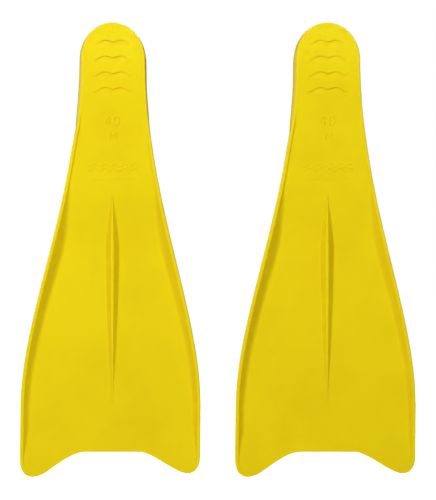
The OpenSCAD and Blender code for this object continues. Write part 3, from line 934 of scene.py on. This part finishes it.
REPLACED = {
    "sole_and_blade": ["sole", "blade_root", "root_outer_rail", "root_inner_rail", "root_keel",
                       "blade_web"],
    "blade_and_tail": ["blade_panel", "blade_outer_rail", "blade_inner_rail", "blade_keel",
                       "blade_rib", "tail_web", "tail_panel", "tail_outer_rail", "tail_inner_rail",
                       "tail_keel", "tail_rib"],
    "foot_pocket": ["heel_cup", "instep"],
    "topline_edge": ["topline_bead"],
    "toe_opening_edge": ["toe_rim"],
}
SHAPES = {
    "sole_and_blade": (*sole_skin(), SKIN, "sole_rubber", BLADE_BEND),
    "blade_and_tail": (*tail_skin(), SKIN, "blade_rubber", TAIL_BEND),
    "foot_pocket": (*pocket_shell(), SOFT, "pocket_rubber", BLADE_BEND),
    "topline_edge": (*topline_bead(), BEAD, "bead_rubber", None),
    "toe_opening_edge": (*toe_rim(), BEAD, "bead_rubber", BLADE_BEND),
    "size_marks": (size_marks(), None, MARK, "sole_rubber", None),
    "wave_marks": (wave_marks(), None, MARK, "sole_rubber", BLADE_BEND),
}

for foot in FEET:
    for name, (shape, masks, material, slot, span) in SHAPES.items():
        piece = make_piece(name, foot, shape, material, masks)
        if span is None:
            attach(piece, f"{foot}_foot")
        elif span is TAIL_BEND:
            bend_with(piece)
        else:
            bend_with(piece)
        if name in REPLACED:
            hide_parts(*[f"{foot}_{node}" for node in REPLACED[name]])


# ---------------------------------------------------------------- stage, light and camera

def white_to_the_eye(tree, other, eye=1.0):
    """Level that is eye on rays from the camera, and other on all the rest."""
    path = tree.nodes.new("ShaderNodeLightPath")
    level = tree.nodes.new("ShaderNodeMapRange")
    level.inputs["To Min"].default_value = other
    level.inputs["To Max"].default_value = eye
    tree.links.new(path.outputs["Is Camera Ray"], level.inputs["Value"])
    return level.outputs["Result"]


def pale_floor(low, half=15.0):
    """Plain pale floor under the tails."""
    mesh = bpy.data.meshes.new("floor")
    corners = [(-half, -half, low), (half, -half, low), (half, half, low), (-half, half, low)]
    mesh.from_pydata(corners, [], [(0, 1, 2, 3)])
    floor = bpy.data.objects.new("floor", mesh)
    bpy.context.scene.collection.objects.link(floor)
    pale = bpy.data.materials.new("pale_floor")
    pale.use_nodes = True
    shader = pale.node_tree.nodes["Principled BSDF"]
    shader.inputs["Base Color"].default_value = (0.8, 0.8, 0.8, 1)
    shader.inputs["Roughness"].default_value = 0.9
    shader.inputs["Specular IOR Level"].default_value = 0.0
    shader.inputs["Emission Color"].default_value = (1, 1, 1, 1)
    glow = white_to_the_eye(pale.node_tree, 0.0)
    pale.node_tree.links.new(glow, shader.inputs["Emission Strength"])
    mesh.materials.append(pale)


def pale_room(fill):
    """White surroundings to the eye, which light the fins with a weaker fill."""
    world = bpy.data.worlds.new("pale_room")
    world.use_nodes = True
    sky = world.node_tree.nodes["Background"]
    sky.inputs["Color"].default_value = (1, 1, 1, 1)
    world.node_tree.links.new(white_to_the_eye(world.node_tree, fill), sky.inputs["Strength"])
    bpy.context.scene.world = world


def soft_light(name, place_at, aim, size, power):
    """Large lamp of a width and height, aimed at a point."""
    lamp = bpy.data.lights.new(name, "AREA")
    lamp.shape = "RECTANGLE"
    lamp.size, lamp.size_y = size
    lamp.energy = power
    lamp_object = bpy.data.objects.new(name, lamp)
    lamp_object.location = place_at
    lamp_object.rotation_mode = "QUATERNION"
    lamp_object.rotation_quaternion = (Vector(aim) - Vector(place_at)).to_track_quat("-Z", "Y")
    bpy.context.scene.collection.objects.link(lamp_object)


def look_at_soles(middle, view_height, distance=3.5, sensor=36.0):
    """Camera square to the soles, with a view so high at the soles' own distance."""
    data = bpy.data.cameras.new("camera")
    data.sensor_width = sensor
    data.lens = sensor * distance / view_height
    camera = bpy.data.objects.new("camera", data)
    camera.location = (middle.x, middle.y - distance, middle.z)
    camera.rotation_euler = (math.radians(90), 0, 0)
    bpy.context.scene.collection.objects.link(camera)
    bpy.context.scene.camera = camera


low, high = cad_box
centre = (low + high) / 2
pale_floor(low.z - 0.0005)
pale_room(0.05)
soft_light("key_light", (0.0, -1.84, 1.3), centre, (0.9, 0.9), 27)
soft_light("left_light", (-1.3, -2.0, 0.35), centre, (0.9, 0.9), 19)
soft_light("back_light", (0.3, 1.7, 1.2), centre, (1.4, 1.4), 34)
soft_light("rim_light", (-1.9, 1.3, 0.1), centre, (0.9, 0.9), 9)

look_at_soles(Vector((centre.x + 0.0003, low.y, centre.z - 0.0006)), 0.6145)
bpy.context.scene.view_settings.view_transform = "Standard"
